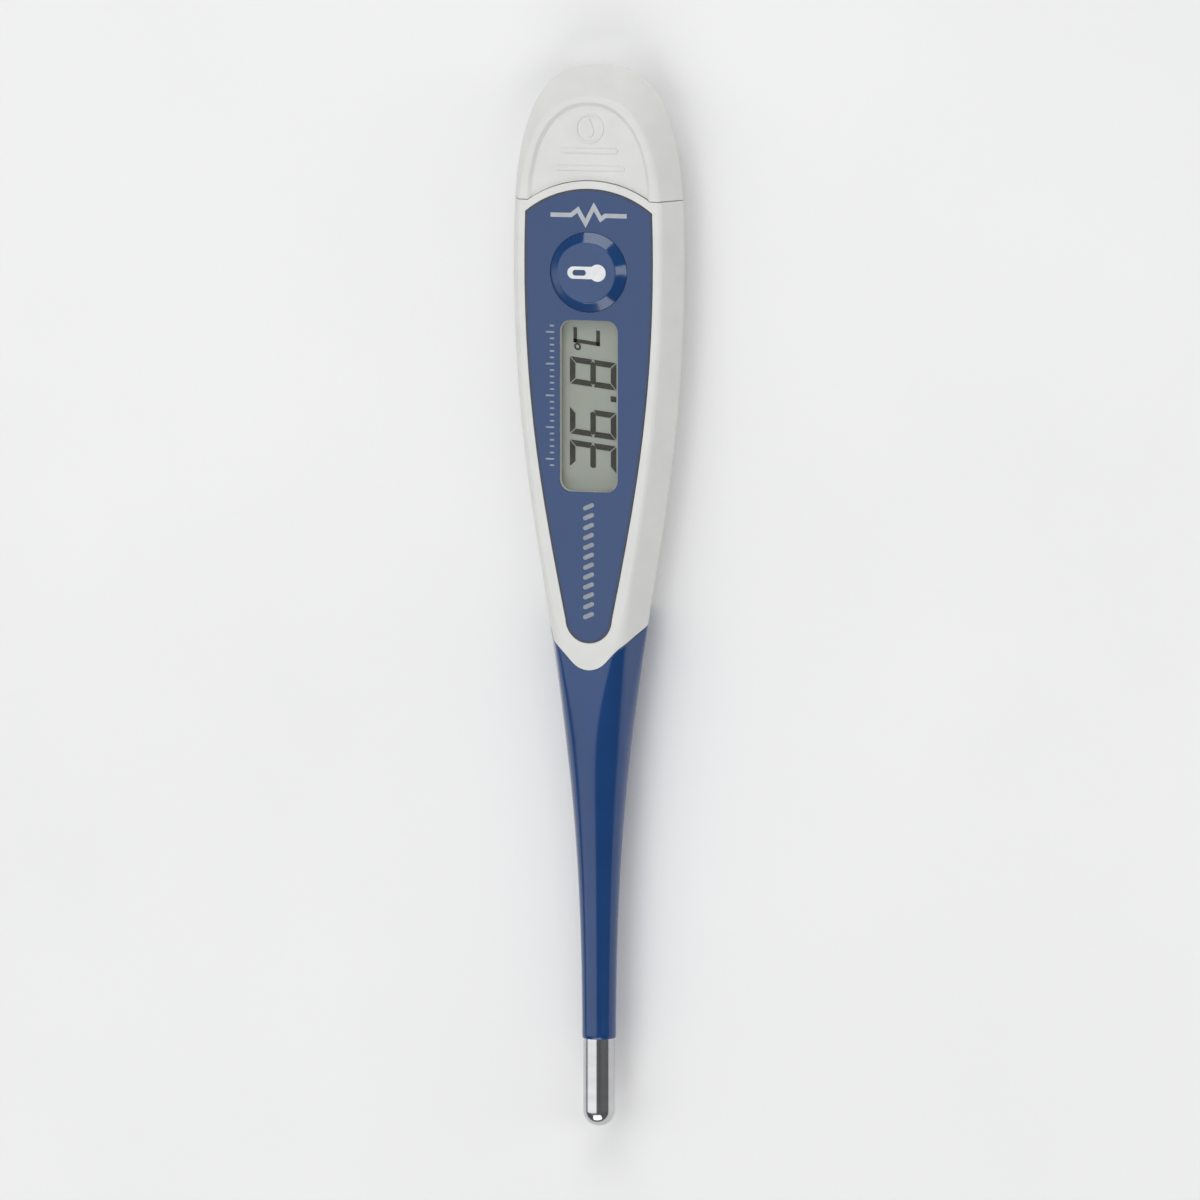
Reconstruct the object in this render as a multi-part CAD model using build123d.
from build123d import *
import math
import os

# Digital clinical thermometer with a soft flexible neck, lying on its back.
# Millimetres. X is across, +Y runs from the steel tip to the battery cover, +Z is the front.
# The origin is under the middle of the whole instrument, on the plane that it rests on.
# Stations along the instrument are distances from the very end of the steel tip.

os.makedirs("parts", exist_ok=True)

# ---------------------------------------------------------------- driving dimensions
probe_diameter = 4.0
probe_exposed = 11.25           # steel that shows beyond the sleeve
neck_length = 47.2              # sleeve on the front, from the steel to the point of the tongue
body_length = 59.15             # from the point of the tongue to the cover's seam
body_width = 22.4               # at the widest station, on the mid plane
body_thickness = 8.8
widest_from_seam = 7.6
side_draft = 1.75               # each side wall leans in by this much up to the front
end_draft = 4.3                 # the cover's end leans in by this much
edge_radius = 0.7
neck_lip = 0.15                 # the sleeve stands this far proud of the steel
flex_length = 28.4              # the part of the neck that bends
flex_joints = 8
flex_gap = 0.09                 # between the spherical faces of two sleeve segments

wall = 1.05
mouth_wall = 0.9                # thinner where the cover plugs in
seat_gap = 0.05                 # between pieces that are fixed together
slide_gap = 0.08                # between pieces that slide on each other
seam_gap = 0.10                 # visible line between cover and housing
face_trim = 0.02                # shaved off front and back, which makes true planes of them
loft_overrun = 4.0              # how far a blank runs on past the place where it is trimmed

tongue_rise = 3.3               # the tongue's shoulders lie this far behind its point
tongue_half_width = 3.2
tongue_power = 2.6
tongue_slant = 0.5              # the sleeve's edge climbs towards the back, per mm of depth
nose_length = 9.0               # spigot inside the sleeve
nose_wall = 0.8
sleeve_wall = 1.0

seam_arch_rise = 2.5
seam_arch_half_width = 8.0
recess_length = 12.4
recess_half_width = 8.0
recess_depth = 0.4
recess_power = 2.2
recess_bevel = 0.45             # its edge slopes in by this much
plug_length = 3.0
plug_end_gap = 0.2              # from the plug's end to the step in the housing's bore
cover_wall = 1.6
seal_section = 0.5
seal_from_seam = 1.5
seal_squeeze = 0.7              # share of the seal that stands in its groove

panel_thickness = 0.25
panel_top_margin = 1.4          # from the seam to the panel's corners
panel_arch_rise = 2.9
panel_side_margin = 2.8         # from the mid-plane edge, at the widest station
panel_margin_growth = 0.85      # added to it at the lower end
panel_length = 54.3             # corners to the rounded end
panel_end_radius = 2.9
panel_gap = 0.06

button_to_plug = 0.35           # from the boss round the button to the cover's plug
button_base_diameter = 10.0
button_top_diameter = 7.6
button_rise = 0.9
button_travel = 0.35
button_skirt = 0.4              # straight part of the button below the front face
button_gap = 0.06
button_edge_radius = 0.35
stem_diameter = 3.0
stem_gap = 0.15
stem_reach = 0.1                # the stem ends this far inside the boss
boss_wall = 0.6
boss_depth = 1.9                # from the front face to the boss's inner face
pocket_floor = 1.1              # from the front face to the floor under the button
seal_ring_height = 0.3
seal_ring_width = 1.5

button_to_window = 1.05         # from the button's edge to the window's
window_width = 7.7
window_length = 21.6
window_gap = 0.03
window_radius = 1.5
lcd_depth = 1.25                # front glass below the front face
lcd_side_margin = 1.35          # glass beyond the window on each side
lcd_top_margin = 0.12           # glass beyond the window, on the button's side
lcd_low_margin = 1.6            # and on the other side
lcd_glass = 0.55
lcd_ledge = 1.8
reflector_thickness = 0.15
reflector_margin = 0.3
connector_width = 1.3
connector_inset = 0.15
stack_gap = 0.02                # between pieces that lie on each other inside

board_thickness = 0.6
board_from_front = 4.25         # from the front face to the board's underside
board_edge_gap = 3.9            # from the mid-plane edge of the body to the board's
board_nose_half_width = 3.6
board_nose_length = 9.0         # beyond the display
board_taper_length = 14.0
carrier_drop = 2.75             # from the board's underside to the carrier's
carrier_floor = 0.5
carrier_overlap = 2.0           # the carrier reaches this far past the display
crossbar_width = 0.8
rail_width = 0.8
push_out_diameter = 3.0         # hole under the cell
board_tail_gap = 0.5
connector_end_margin = 0.5

cell_diameter = 7.9             # LR41
cell_height = 3.6
can_share = 0.86
cell_clearance = 0.12
cell_edge_radius = 0.3
cell_cap_step = 0.8             # the cell's cap is this much smaller all round
cell_seam_gap = 1.45            # from the seam to the cell's near edge
cell_end_gap = 7.55             # from the cell's far edge to the end of the cover
cell_play = 0.08                # between the cell and the carrier's floor
contact_thickness = 0.25
leaf_thickness = 0.2
leaf_width = 3.0
leaf_reach = 1.5                # past the cell's middle
leaf_root = 3.0                 # from the cell's edge back to the leg on the board

wire_diameter = 0.4
wire_pitch = 0.6
bore_diameter = 1.6
bore_flare = 18.0               # half angle of each segment's flared bore, degrees
probe_wall = 0.2
probe_tail_diameter = 3.3
probe_tail_length = 4.5
bead_diameter = 1.1
bead_from_end = 1.6
potting_length = 5.0
wire_end_gap = 0.15

chip_diameter = 6.0
chip_height = 1.1
chip_edge_radius = 0.8
small_part_length = 0.8
small_part_width = 1.6
small_part_height = 0.6
small_part_pitch = 2.4
small_part_from_middle = 2.0
switch_half_width = 2.2
switch_height = 0.55
switch_well_diameter = 3.2
switch_well_floor = 0.3
dome_diameter = 3.0
dome_thickness = 0.12
plunger_diameter = 1.6
plunger_foot_diameter = 2.4
plunger_foot_height = 0.25
buzzer_diameter = 10.0
buzzer_thickness = 0.2
ceramic_diameter = 7.0
ceramic_thickness = 0.2
spring_diameter = 0.9
spring_from_middle = 2.4
spring_hole_diameter = 2.0

# ---------------------------------------------------------------- derived stations
tongue_station = probe_exposed + neck_length
cover_length = cell_seam_gap + cell_diameter + cell_end_gap
seam_station = tongue_station + body_length
overall_length = seam_station + cover_length
widest_station = seam_station - widest_from_seam
half_thickness = body_thickness / 2
neck_end_radius = probe_diameter / 2 + neck_lip
lean = side_draft / half_thickness
lean_angle = math.atan(lean)

sleeve_end_length = probe_tail_length + 2.0
last_joint_station = probe_exposed + sleeve_end_length
first_joint_station = last_joint_station + flex_length
joint_pitch = flex_length / (flex_joints - 1)
joint_stations = [first_joint_station - i * joint_pitch for i in range(flex_joints)]
nose_end_station = tongue_station - nose_length
straight_station = tongue_station + 12.0    # above it every edge has the plain edge radius

front = body_thickness
mid = half_thickness
boss_diameter = button_base_diameter + 2 * boss_wall
button_station = seam_station - plug_length - button_to_plug - boss_diameter / 2
window_station = button_station - button_base_diameter / 2 - button_to_window - window_length / 2
panel_corner_station = seam_station - panel_top_margin
lcd_high = window_station + window_length / 2 + lcd_top_margin
lcd_low = window_station - window_length / 2 - lcd_low_margin
lcd_width = window_width + 2 * lcd_side_margin
cell_station = seam_station + cell_seam_gap + cell_diameter / 2
board_bottom = front - board_from_front
board_top = board_bottom + board_thickness
board_half_width = body_width / 2 - board_edge_gap
board_nose_station = lcd_low - board_nose_length
carrier_bottom = board_bottom - carrier_drop
cell_bottom = carrier_bottom + carrier_floor + cell_play
cell_top = cell_bottom + cell_height
stem_end = front - boss_depth - stem_reach
spring_stations = [button_station - spring_from_middle, button_station + spring_from_middle]


def along(station):
    """Y of a distance from the steel tip's end."""
    return station - overall_length / 2


# ---------------------------------------------------------------- outer form
flare_balance = 1.44
flare_power = 1.83
end_power = 2.7


def half_width(station):
    """Half the outer width: slim neck, flare, then a squarish rounded end."""
    if station >= widest_station:
        share = (station - widest_station) / (overall_length - widest_station)
        return body_width / 2 * (1 - share ** end_power) ** (1 / end_power)
    share = (station - probe_exposed) / (widest_station - probe_exposed)
    if share <= 0:
        return neck_end_radius
    flare = 1 / (1 + flare_balance * ((1 - share) / share) ** flare_power)
    return neck_end_radius + (body_width / 2 - neck_end_radius) * flare


def half_height(station):
    """Half the thickness: the body's own, running down into the round neck."""
    width = half_width(station)
    return width * (1 + (width / (half_thickness + face_trim)) ** 10) ** -0.1


def corner_radius(station):
    """Edge rounding: small on the body, growing until the neck is round."""
    if station >= straight_station:
        return edge_radius
    share = (straight_station - station) / (straight_station - first_joint_station)
    share = min(share, 1.0)
    full = min(half_width(station), half_height(station)) - 0.1
    return edge_radius + (full - edge_radius) * share * share * (3 - 2 * share)


def section(station, inset=0.0, place=None):
    """Closed wire across the instrument: six flats joined by six arcs."""
    radius = corner_radius(station) - inset
    crown = half_height(station) - corner_radius(station)
    flank = half_width(station) - corner_radius(station)
    flat = flank - crown * lean
    least_radius = 0.15
    if radius < least_radius:
        shrink = least_radius - radius
        radius = least_radius
        crown -= shrink
        flank -= shrink / math.cos(lean_angle)
        flat -= shrink * (1 - math.sin(lean_angle)) / math.cos(lean_angle)
    y = along(station if place is None else place)
    side = (math.cos(lean_angle), math.sin(lean_angle))
    normals = [(0, 1), side, (side[0], -side[1]), (0, -1), (-side[0], -side[1]), (-side[0], side[1])]
    centres = [(flat, crown), (flank, 0), (flat, -crown), (-flat, -crown), (-flank, 0), (-flat, crown)]

    def point(centre, normal):
        return Vector(centre[0] + radius * normal[0], y, mid + centre[1] + radius * normal[1])

    edges = []
    for i, centre in enumerate(centres):
        entering = normals[i]
        leaving = normals[(i + 1) % 6]
        between = Vector(entering[0] + leaving[0], entering[1] + leaving[1], 0).normalized()
        start = point(centre, entering)
        end = point(centre, leaving)
        edges.append(Edge.make_three_point_arc(start, point(centre, (between.X, between.Y)), end))
        following = centres[(i + 1) % 6]
        edges.append(Edge.make_line(end, point(following, leaving)))
    return Wire(edges)


def body_form(low, high, inset=0.0, count=6):
    """Lofted solid between two stations."""
    step = (high - low) / (count - 1)
    return Solid.make_loft([section(low + i * step, inset) for i in range(count)])


def mouth_form(low, high, inset):
    """Straight solid with the outline that the instrument has at the seam."""
    return Solid.make_loft([section(seam_station, inset, low), section(seam_station, inset, high)])


def end_outline(half, length, height):
    """Plan outline of the covered end at one height: a squarish arch and its chord."""
    points = []
    steps = 16
    for i in range(steps + 1):
        turn = math.pi * i / steps
        x = half * math.copysign(abs(math.cos(turn)) ** (2 / end_power), math.cos(turn))
        y = along(widest_station) + length * math.sin(turn) ** (2 / end_power)
        points.append(Vector(x if 0 < i < steps else math.copysign(half, x), y, height))
    arch = Edge.make_spline(points, tangents=[Vector(0, 1, 0), Vector(0, -1, 0)])
    return Wire([arch, Edge.make_line(points[-1], points[0])])


def end_form(inset=0.0):
    """Solid of the covered end: widest on the mid plane, leaning in to front and back."""
    end_angle = math.atan(end_draft / half_thickness)
    rise = half_thickness - inset
    half = body_width / 2 - inset / math.cos(lean_angle)
    length = overall_length - widest_station - inset / math.cos(end_angle)
    if inset == 0:      # the rounding of the mid-plane edge takes this off again
        half += edge_radius * (1 / math.cos(lean_angle) - 1)
        length += edge_radius * (1 / math.cos(end_angle) - 1)
    face_half = half - side_draft * rise / half_thickness
    face_length = length - end_draft * rise / half_thickness
    waist = end_outline(half, length, mid)
    upper = Solid.make_loft([waist, end_outline(face_half, face_length, mid + rise)], ruled=True)
    lower = Solid.make_loft([waist, end_outline(face_half, face_length, mid - rise)], ruled=True)
    return upper + lower


def slab(x0, x1, station0, station1, z0, z1):
    """Plain block between two stations."""
    return Pos((x0 + x1) / 2, (along(station0) + along(station1)) / 2, (z0 + z1) / 2) * Box(
        abs(x1 - x0), abs(station1 - station0), abs(z1 - z0))


def rod(diameter, station0, station1, x=0.0, z=mid):
    """Cylinder that runs along the instrument."""
    middle = (along(station0) + along(station1)) / 2
    return Pos(x, middle, z) * Rot(90, 0, 0) * Cylinder(diameter / 2, abs(station1 - station0))


def disc(diameter, station, z0, z1, x=0.0):
    """Upright cylinder."""
    return Pos(x, along(station), (z0 + z1) / 2) * Cylinder(diameter / 2, abs(z1 - z0))


def ball(radius, station):
    return Pos(0, along(station), mid) * Sphere(radius)


def between_faces(shape):
    """The shape cut off on the front plane and on the resting plane."""
    return shape & slab(-body_width, body_width, 0, overall_length, 0, front)


def below_seam(shift=0.0):
    """Everything on the tip's side of the arched seam."""
    reach = body_width
    corner = seam_arch_half_width
    y = along(seam_station) + shift
    line = [
        Edge.make_line((-reach, y), (-corner, y)),
        Edge.make_three_point_arc((-corner, y), (0, y + seam_arch_rise), (corner, y)),
        Edge.make_line((corner, y), (reach, y)),
        Edge.make_line((reach, y), (reach, y - overall_length)),
        Edge.make_line((reach, y - overall_length), (-reach, y - overall_length)),
        Edge.make_line((-reach, y - overall_length), (-reach, y)),
    ]
    return Pos(0, 0, -1) * extrude(Face(Wire(line)), body_thickness + 2, dir=(0, 0, 1))


def below_tongue(shift=0.0):
    """Everything on the tip's side of the sleeve's tongue-shaped, slanting edge."""
    above = 1.0
    reach = 9.0
    steps = 12
    base = along(tongue_station) - tongue_slant * above + shift
    points = []
    for i in range(steps + 1):
        x = reach * (2 * i / steps - 1)
        rise = tongue_rise * (1 - math.exp(-(abs(x) / tongue_half_width) ** tongue_power))
        points.append(Vector(x, base + rise, front + above))
    far = base - overall_length
    line = [
        Edge.make_spline(points),
        Edge.make_line(points[-1], (reach, far, front + above)),
        Edge.make_line((reach, far, front + above), (-reach, far, front + above)),
        Edge.make_line((-reach, far, front + above), points[0]),
    ]
    depth = body_thickness + 2 * above
    return Solid.extrude(Face(Wire(line)), Vector(0, tongue_slant * depth, -depth))


# ---------------------------------------------------------------- housing
def window_outline(gap, z, thickness):
    face = RectangleRounded(window_width - 2 * gap, window_length - 2 * gap, window_radius - gap)
    return extrude(Pos(0, along(window_station), z) * face, thickness, dir=(0, 0, 1))


def panel_half(station):
    share = (widest_station - station) / (widest_station - (panel_corner_station - panel_length))
    return half_width(station) - panel_side_margin - panel_margin_growth * share * share


def panel_form(gap, z, thickness):
    """Overlay outline: arched top, gently bowed sides, rounded lower end."""
    steps = 5
    top = panel_corner_station
    low = top - panel_length + panel_end_radius
    stations = [top - (top - low) * i / steps for i in range(steps + 1)]
    right = [Vector(panel_half(s) - gap, along(s)) for s in stations]
    left = [Vector(-p.X, p.Y) for p in reversed(right)]
    lines = [
        Edge.make_three_point_arc(left[-1], Vector(0, along(top) + panel_arch_rise - gap), right[0]),
        Edge.make_spline(right),
        Edge.make_three_point_arc(right[-1], Vector(0, along(top - panel_length) + gap), left[0]),
        Edge.make_spline(left),
    ]
    return extrude(Pos(0, 0, z) * Face(Wire(lines)), thickness, dir=(0, 0, 1))


def make_housing():
    shell = body_form(nose_end_station - loft_overrun, seam_station + loft_overrun, count=14)
    shell = between_faces(shell)
    shell = shell - below_tongue()
    shell = shell & below_seam()
    nose = body_form(nose_end_station, straight_station, sleeve_wall + seat_gap, count=6)
    shell += nose
    shell += disc(boss_diameter, button_station, front - boss_depth, front - wall)
    plug_bottom = seam_station - plug_length - plug_end_gap
    shell -= body_form(nose_end_station - 1, straight_station, sleeve_wall + seat_gap + nose_wall, count=6)
    cavity = body_form(straight_station - 1, plug_bottom, wall, count=6)
    cavity += mouth_form(plug_bottom - 0.2, seam_station + loft_overrun + 1, mouth_wall)
    boss = disc(boss_diameter, button_station, front - boss_depth, front)
    shell -= cavity - boss
    shell -= panel_form(-panel_gap, front - panel_thickness, 1)
    shell -= window_outline(0, front - 2 * wall, 2 * wall)
    pocket = button_base_diameter + 2 * button_gap
    shell -= disc(pocket, button_station, front - pocket_floor, front + 1)
    shell -= disc(stem_diameter + 2 * stem_gap, button_station, front - boss_depth - 1, front)
    return shell


def make_front_panel():
    panel = panel_form(0, front - panel_thickness, panel_thickness)
    panel -= window_outline(0, front - 1, 2)
    panel -= disc(button_base_diameter + 2 * button_gap, button_station, front - 1, front + 1)
    return panel


def make_button():
    base = button_base_diameter / 2
    top = button_top_diameter / 2
    low = front - button_skirt
    profile = Polyline((0, low), (base, low), (base, front), (top, front + button_rise),
                       (0, front + button_rise), close=True)
    face = make_face(profile.edges())
    cap = Pos(0, along(button_station), 0) * revolve(Plane.XZ * face, Axis.Z)
    rim = [e for e in cap.edges() if abs(e.center().Z - front - button_rise) < 0.01]
    cap = fillet(rim, button_edge_radius)
    return cap + disc(stem_diameter, button_station, stem_end, low)


def make_button_seal():
    outer = stem_diameter + 2 * stem_gap + 2 * seal_ring_width
    floor = front - pocket_floor
    ring = disc(outer, button_station, floor, floor + seal_ring_height)
    return ring - disc(stem_diameter + 2 * stem_gap, button_station, floor - 1, floor + 1)


# ---------------------------------------------------------------- battery cover
def make_battery_cover():
    cover = end_form()
    rims = [e for e in cover.edges() if e.geom_type != GeomType.LINE]
    cover = cover.fillet(edge_radius, rims)
    cover = cover - below_seam(seam_gap)
    plug_end = seam_station - plug_length
    cover += mouth_form(plug_end, seam_station + loft_overrun, mouth_wall + slide_gap)
    cover -= end_form(cover_wall) & slab(-20, 20, plug_end - 1, overall_length, 0, front)
    groove_low = seam_station - seal_from_seam - seal_section / 2 - seat_gap
    groove_high = groove_low + seal_section + 2 * seat_gap
    groove = slab(-20, 20, groove_low, groove_high, -1, front + 1)
    cover -= groove - mouth_form(groove_low - 1, groove_high + 1, mouth_wall + slide_gap + seal_section * seal_squeeze)
    cover -= make_recess()
    return cover


def recess_outline(inset, height):
    """Arched outline of the thumb recess, which runs on past the seam."""
    half = recess_half_width - inset
    base = along(seam_station)
    points = []
    steps = 12
    for i in range(steps + 1):
        turn = math.pi * i / steps
        x = half * math.copysign(abs(math.cos(turn)) ** (2 / recess_power), math.cos(turn))
        rise = (recess_length - inset) * max(math.sin(turn), 0) ** (2 / recess_power)
        points.append(Vector(x, base + rise, height))
    arch = Edge.make_spline(points, tangents=[Vector(0, 1, 0), Vector(0, -1, 0)])
    start = points[0]
    end = points[-1]
    corners = [Vector(end.X, base - 1, height), Vector(start.X, base - 1, height)]
    return Wire([arch, Edge.make_line(end, corners[0]), Edge.make_line(*corners), Edge.make_line(corners[1], start)])


def make_recess():
    floor = recess_outline(recess_bevel, front - recess_depth)
    rim = recess_outline(0, front)
    over = recess_outline(-recess_bevel, front + recess_depth)
    lower = Solid.make_loft([floor, rim], ruled=True)
    return lower + Solid.make_loft([rim, over], ruled=True)


def make_cover_seal():
    low = seam_station - seal_from_seam - seal_section / 2
    outer = mouth_form(low, low + seal_section, mouth_wall + stack_gap)
    inner = mouth_form(low - 1, low + seal_section + 1, mouth_wall + slide_gap + seal_section * seal_squeeze - stack_gap)
    return outer - inner


# ---------------------------------------------------------------- inside
def make_carrier():
    low = lcd_low - carrier_overlap
    half = cell_diameter / 2 + cell_clearance + rail_width
    top = board_bottom - stack_gap
    floor_top = carrier_bottom + carrier_floor
    carrier = slab(-half, half, low, cell_station, carrier_bottom, floor_top)
    tongue_half = cell_diameter / 2 - rail_width
    carrier += slab(-tongue_half, tongue_half, low, cell_station + cell_diameter / 2, carrier_bottom, floor_top)
    for side in (-1, 1):
        carrier += slab(side * half, side * (half - rail_width), low, cell_station, carrier_bottom, top)
    stop = cell_station - cell_diameter / 2 - cell_clearance - contact_thickness - 2 * stack_gap
    carrier += slab(-half, half, stop - crossbar_width, stop, carrier_bottom, top)
    for station in spring_stations:
        carrier -= disc(spring_hole_diameter, station, carrier_bottom - 1, carrier_bottom + 1)
    return carrier - disc(push_out_diameter, cell_station, carrier_bottom - 1, carrier_bottom + 1)


def make_circuit_board():
    tail = cell_station - cell_diameter / 2 - cell_clearance - board_tail_gap
    nose = board_nose_station
    shoulder = nose + board_taper_length
    wide = board_half_width
    slim = board_nose_half_width
    points = [(-slim, along(nose)), (slim, along(nose)), (wide, along(shoulder)), (wide, along(tail)),
              (-wide, along(tail)), (-wide, along(shoulder))]
    outline = make_face(Polyline(*points, close=True).edges())
    return extrude(Pos(0, 0, board_bottom) * outline, board_thickness, dir=(0, 0, 1))


def make_lcd():
    half = lcd_width / 2
    top = front - lcd_depth
    middle = top - lcd_glass - stack_gap
    low = middle - lcd_glass - stack_gap
    front_glass = slab(-half, half, lcd_low, lcd_high, top - lcd_glass, top)
    back_glass = slab(-half, half, lcd_low - lcd_ledge, lcd_high, middle - lcd_glass, middle)
    half -= reflector_margin
    reflector = slab(-half, half, lcd_low + reflector_margin, lcd_high - reflector_margin,
                     low - reflector_thickness, low)
    return front_glass, back_glass, reflector


def make_elastomer_connector():
    ledge_bottom = front - lcd_depth - 2 * lcd_glass - 2 * stack_gap
    end = lcd_low - lcd_ledge + connector_inset
    half = lcd_width / 2 - connector_end_margin
    return slab(-half, half, end, end + connector_width, board_top + stack_gap, ledge_bottom)


def make_controller_chip():
    low = board_bottom - chip_height
    blob = disc(chip_diameter, window_station, low, board_bottom - stack_gap)
    rim = [e for e in blob.edges() if e.center().Z < low + stack_gap]
    return fillet(rim, chip_edge_radius)


def make_chip_components():
    first = window_station - chip_diameter / 2 - small_part_pitch
    outer = small_part_from_middle + small_part_width
    pieces = []
    for row in range(3):
        low = first - row * small_part_pitch
        for side in (-1, 1):
            pieces.append(slab(side * small_part_from_middle, side * outer, low, low + small_part_length,
                               board_bottom - small_part_height, board_bottom - stack_gap))
    return Compound(pieces)


def make_switch():
    low = board_top + stack_gap
    base = slab(-switch_half_width, switch_half_width, button_station - switch_half_width,
                button_station + switch_half_width, low, low + switch_height)
    base -= disc(switch_well_diameter, button_station, low + switch_well_floor, low + 1)
    dome_low = low + switch_well_floor + stack_gap
    dome = disc(dome_diameter, button_station, dome_low, dome_low + dome_thickness)
    plunger_low = dome_low + dome_thickness + stack_gap + button_travel
    plunger = disc(plunger_diameter, button_station, plunger_low, stem_end - 2 * stack_gap)
    plunger += disc(plunger_foot_diameter, button_station, plunger_low, plunger_low + plunger_foot_height)
    return base, dome, plunger


def make_buzzer():
    low = wall + slide_gap
    plate_top = low + buzzer_thickness
    plate = disc(buzzer_diameter, button_station, low, plate_top)
    ceramic_top = plate_top + stack_gap + ceramic_thickness
    ceramic = disc(ceramic_diameter, button_station, plate_top + stack_gap, ceramic_top)
    top = board_bottom - stack_gap
    springs = [disc(spring_diameter, station, ceramic_top + stack_gap, top) for station in spring_stations]
    return plate, ceramic, Compound(springs)


def make_cell():
    can_top = cell_bottom + cell_height * can_share
    can = disc(cell_diameter, cell_station, cell_bottom, can_top)
    rim = [e for e in can.edges() if e.center().Z < cell_bottom + stack_gap]
    can = fillet(rim, cell_edge_radius)
    return can + disc(cell_diameter - 2 * cell_cap_step, cell_station, can_top - cell_edge_radius, cell_top)


def make_contacts():
    near = cell_station - cell_diameter / 2 - cell_clearance
    half = cell_diameter / 3
    positive = slab(-half, half, near - contact_thickness, near, cell_bottom, board_bottom - stack_gap)
    leaf_low = cell_top + stack_gap
    leaf_high = leaf_low + leaf_thickness
    half = leaf_width / 2
    root = near - leaf_root
    negative = slab(-half, half, root, cell_station + leaf_reach, leaf_low, leaf_high)
    negative += slab(-half, half, root, root + leaf_thickness, board_top + stack_gap, leaf_high)
    return positive, negative


def wire_pair(station0, station1):
    return Compound([rod(wire_diameter, station0, station1, side * wire_pitch / 2) for side in (-1, 1)])


# ---------------------------------------------------------------- flexible neck
def neck_radius(station):
    return min(half_width(station), half_height(station))


def neck_blank(station0, station1):
    """Turned solid with the neck's own taper between two stations."""
    steps = 4
    stations = [station0 + (station1 - station0) * i / steps for i in range(steps + 1)]
    side = Spline(*[(neck_radius(s), along(s)) for s in stations])
    outline = side + Polyline((neck_radius(station1), along(station1)), (0, along(station1)),
                              (0, along(station0)), (neck_radius(station0), along(station0)))
    turned = revolve(make_face(outline.edges()), Axis.Y)
    return Pos(0, 0, mid) * turned


def flared_bore(station):
    """Opening for the leads that lets them swing about a joint's centre."""
    reach = neck_radius(station) + 1
    wide = bore_diameter / 2 + reach * math.tan(math.radians(bore_flare))
    cone = Cone(wide, bore_diameter / 2, reach)
    return Pos(0, along(station - reach / 2), mid) * Rot(-90, 0, 0) * cone


def sleeve_piece(blank, upper, lower):
    """Cut the cup for the joint above and add the ball for the joint below."""
    if lower is not None:
        blank = blank + (ball(neck_radius(lower), lower) & slab(-9, 9, lower - 9, lower, -9, 18))
        blank -= flared_bore(lower)
    if upper is not None:
        blank -= ball(neck_radius(upper) + flex_gap, upper)
    return blank


def make_sleeve_collar():
    first = joint_stations[0]
    outer = body_form(first, tongue_station + tongue_rise + tongue_slant * body_thickness + 6, count=8)
    outer = between_faces(outer) & below_tongue(-seat_gap)
    nose = body_form(nose_end_station - seat_gap, straight_station, sleeve_wall, count=6)
    outer -= nose
    outer -= rod(bore_diameter, first - 1, nose_end_station + 1)
    return sleeve_piece(outer, None, first)


def make_sleeve_segment(index):
    upper = joint_stations[index]
    lower = joint_stations[index + 1]
    blank = neck_blank(upper, lower) - rod(bore_diameter, lower - 1, upper)
    return sleeve_piece(blank, upper, lower)


def make_sleeve_end():
    upper = joint_stations[-1]
    blank = neck_blank(upper, probe_exposed)
    blank -= rod(bore_diameter, probe_exposed, upper)
    blank -= rod(probe_tail_diameter + 2 * seat_gap, probe_exposed - 1, probe_exposed + probe_tail_length + seat_gap)
    return sleeve_piece(blank, upper, None)


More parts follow.
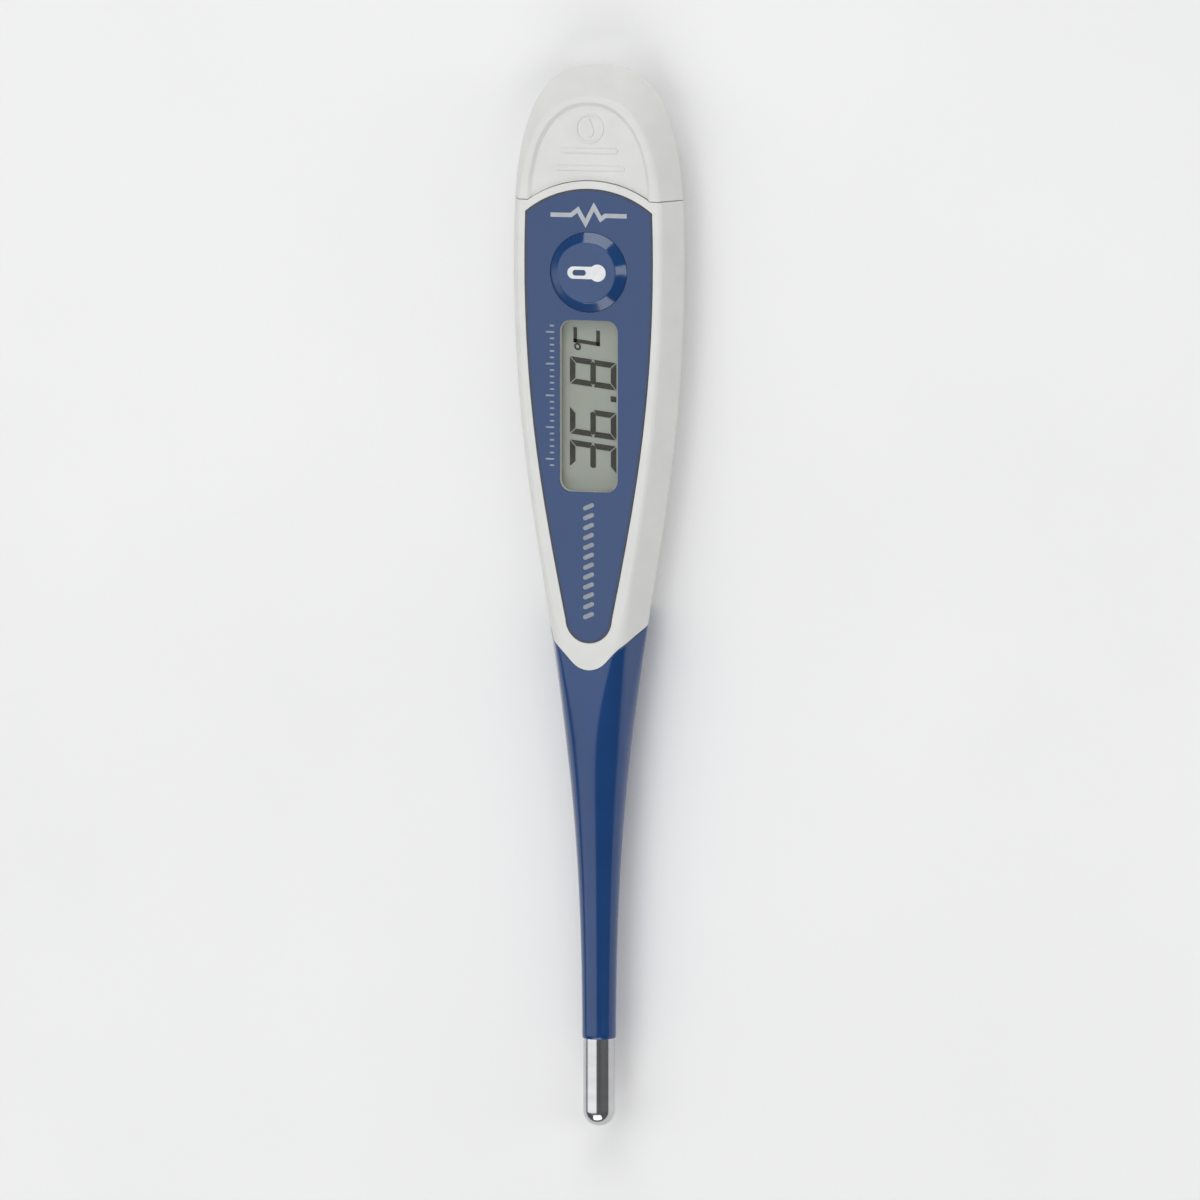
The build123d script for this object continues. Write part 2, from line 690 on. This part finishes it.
def make_probe_tip():
    radius = probe_diameter / 2
    tail = probe_exposed + probe_tail_length
    shell = rod(probe_diameter, radius, probe_exposed) + ball(radius, radius)
    shell += rod(probe_tail_diameter, probe_exposed - 0.5, tail)
    inner = radius - probe_wall
    hollow = rod(2 * inner, radius, probe_exposed - 0.6) + ball(inner, radius)
    hollow += rod(probe_tail_diameter - 2 * probe_wall, probe_exposed - 0.7, tail + 1)
    return shell - hollow


def make_potting():
    radius = probe_diameter / 2
    inner = radius - probe_wall - 0.02
    fill = rod(2 * inner, radius, potting_length) + ball(inner, radius)
    fill -= ball(bead_diameter / 2 + 0.02, bead_from_end)
    for side in (-1, 1):
        fill -= rod(wire_diameter + 0.04, bead_from_end, potting_length + 1, side * wire_pitch / 2)
    return fill


# ---------------------------------------------------------------- write every node
def save(name, shape):
    export_step(shape, "parts/" + name + ".step")


def main():
    save("housing", make_housing())
    save("front_panel", make_front_panel())
    save("display_window", window_outline(window_gap, front - panel_thickness, panel_thickness))
    save("button", make_button())
    save("button_seal", make_button_seal())
    save("battery_cover", make_battery_cover())
    save("cover_seal", make_cover_seal())
    save("carrier", make_carrier())
    save("circuit_board", make_circuit_board())
    for name, shape in zip(("lcd_front_glass", "lcd_back_glass", "lcd_reflector"), make_lcd()):
        save(name, shape)
    save("elastomer_connector", make_elastomer_connector())
    save("controller_chip", make_controller_chip())
    save("chip_components", make_chip_components())
    for name, shape in zip(("switch_base", "switch_dome", "switch_plunger"), make_switch()):
        save(name, shape)
    for name, shape in zip(("buzzer_plate", "buzzer_ceramic", "buzzer_springs"), make_buzzer()):
        save(name, shape)
    save("battery_cell", make_cell())
    for name, shape in zip(("positive_contact", "negative_contact"), make_contacts()):
        save(name, shape)
    save("lead_wires", wire_pair(joint_stations[0] + wire_end_gap, board_nose_station - 0.1))
    save("sleeve_collar", make_sleeve_collar())
    for i in range(flex_joints - 1):
        save("sleeve_segment_" + str(i + 1), make_sleeve_segment(i))
        low = joint_stations[i + 1] + wire_end_gap
        save("lead_segment_" + str(i + 1), wire_pair(low, joint_stations[i] - wire_end_gap))
    save("sleeve_end", make_sleeve_end())
    bead_edge = bead_from_end + bead_diameter / 2
    save("tip_leads", wire_pair(bead_edge + 0.02, joint_stations[-1] - wire_end_gap))
    save("thermistor_bead", ball(bead_diameter / 2, bead_from_end))
    save("tip_potting", make_potting())
    save("probe_tip", make_probe_tip())


main()
